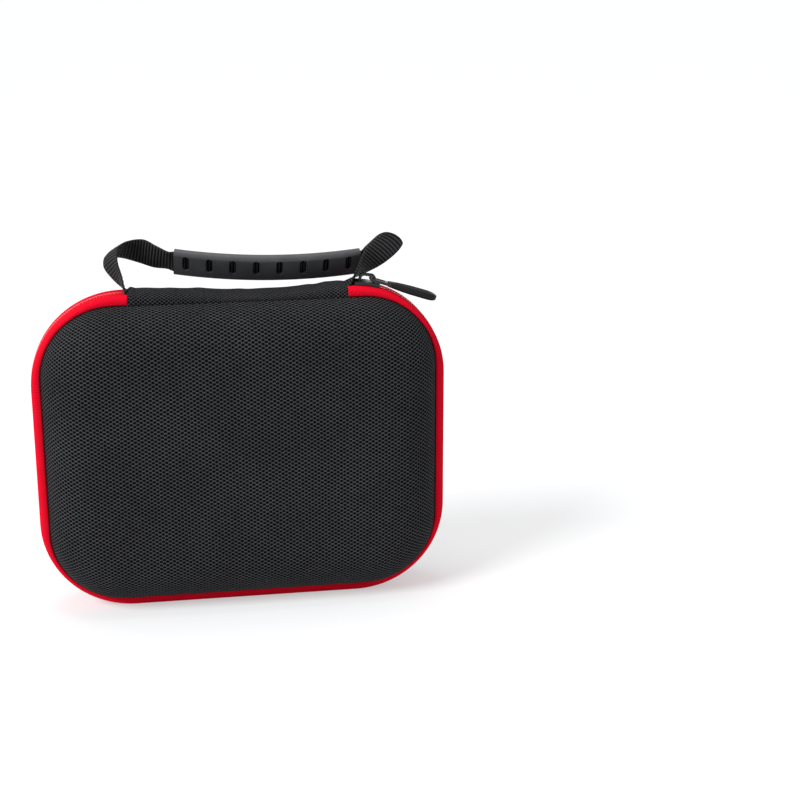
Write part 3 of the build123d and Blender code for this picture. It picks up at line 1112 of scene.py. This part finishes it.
def floor_finish(colours):
    """Pale floor that reads white to the camera and still takes the soft shadow."""
    made = Nodes("pale_floor")
    grain = made.noise(made.solid_place(), 900.0, 2.0, 0.5)
    shade = made.mix(grain, tinted(colours.floor, 0.985), colours.floor)
    made.finish(Base_Color=shade, Roughness=0.7, Specular_IOR_Level=0.2)
    white = made.add("ShaderNodeEmission", Color=(1.0, 1.0, 1.0), Strength=1.0)
    share = made.math("MULTIPLY", looked_at(made.tree), 0.45)
    blend = made.add("ShaderNodeMixShader", Fac=share, i1=made.shader.outputs[0], i2=white.outputs[0])
    made.put(made.tree.nodes["Material Output"], "Surface", blend.outputs[0])
    return made.material


def add_lamp(name, place, aim, size, energy):
    """Soft round lamp that faces a point."""
    lamp = bpy.data.lights.new(name, "AREA")
    lamp.shape = "DISK"
    lamp.size = size
    lamp.energy = energy
    holder = bpy.data.objects.new(name, lamp)
    holder.location = place
    holder.rotation_euler = (Vector(aim) - Vector(place)).to_track_quat("-Z", "Y").to_euler()
    bpy.context.collection.objects.link(holder)


def add_key(direction, spread, strength):
    """Broad key light from far off, even over the case and the whole floor."""
    lamp = bpy.data.lights.new("key", "SUN")
    lamp.angle = math.radians(spread)
    lamp.energy = strength
    lamp.color = (0.97, 0.98, 1.0)
    holder = bpy.data.objects.new("key", lamp)
    holder.rotation_euler = Vector(direction).to_track_quat("Z", "Y").to_euler()
    bpy.context.collection.objects.link(holder)


class CASE_OT_stage(bpy.types.Operator):
    """Floor, soft studio light and the camera"""

    bl_idname = "case.stage"
    bl_label = "Stage"

    def execute(self, context):
        _, colours = settings()
        scene = context.scene
        bpy.ops.mesh.primitive_plane_add(size=12.0, location=(0, 2.0, 0))
        floor = context.active_object
        floor.name = "stage_floor"
        floor.data.materials.append(floor_finish(colours))
        world = bpy.data.worlds.new("studio")
        scene.world = world
        world.use_nodes = True
        tree = world.node_tree
        light = tree.nodes["Background"]
        light.inputs["Color"].default_value = (0.95, 0.97, 1.0, 1.0)
        light.inputs["Strength"].default_value = 0.52
        white = tree.nodes.new("ShaderNodeBackground")
        white.inputs["Color"].default_value = (1.0, 1.0, 1.0, 1.0)
        white.inputs["Strength"].default_value = 1.0
        blend = tree.nodes.new("ShaderNodeMixShader")
        tree.links.new(looked_at(tree), blend.inputs["Fac"])
        tree.links.new(light.outputs[0], blend.inputs[1])
        tree.links.new(white.outputs[0], blend.inputs[2])
        tree.links.new(blend.outputs[0], tree.nodes["World Output"].inputs["Surface"])
        add_key((-0.75, -0.45, 0.66), 25.0, 3.0)
        add_lamp("top", (-0.1, 0.1, 1.1), (0, 0, 0.1), 0.6, 4.0)
        camera = bpy.data.cameras.new("view")
        camera.sensor_width = 36.0
        camera.lens = 76.217
        holder = bpy.data.objects.new("view", camera)
        holder.location = (-0.05398, -0.82967, 0.36914)
        holder.rotation_euler = (math.radians(90 - 17.61), 0.0, math.radians(-9.344))
        context.collection.objects.link(holder)
        scene.camera = holder
        scene.view_settings.view_transform = "Standard"
        return {"FINISHED"}


class CASE_PT_panel(bpy.types.Panel):
    """Lists the case's pieces in the order in which they are built"""

    bl_idname = "CASE_PT_panel"
    bl_label = "Console case"
    bl_space_type = "VIEW_3D"
    bl_region_type = "UI"
    bl_category = "Case"

    def draw(self, context):
        for operator in OPERATORS:
            self.layout.operator(operator.bl_idname)


OPERATORS = (
    CASE_OT_shells,
    CASE_OT_zip,
    CASE_OT_slider,
    CASE_OT_spine,
    CASE_OT_handle,
    CASE_OT_inside,
    CASE_OT_stage,
)
CLASSES = (CaseSizes, CaseColours, *OPERATORS, CASE_PT_panel)


def register():
    for entry in CLASSES:
        bpy.utils.register_class(entry)
    bpy.types.Scene.case_sizes = bpy.props.PointerProperty(type=CaseSizes)
    bpy.types.Scene.case_colours = bpy.props.PointerProperty(type=CaseColours)


def unregister():
    del bpy.types.Scene.case_colours
    del bpy.types.Scene.case_sizes
    for entry in reversed(CLASSES):
        bpy.utils.unregister_class(entry)


def main():
    register()
    bpy.ops.case.shells()
    bpy.ops.case.zip()
    bpy.ops.case.slider()
    bpy.ops.case.spine()
    bpy.ops.case.handle()
    bpy.ops.case.inside()
    bpy.ops.case.stage()


if __name__ == "__main__":
    main()
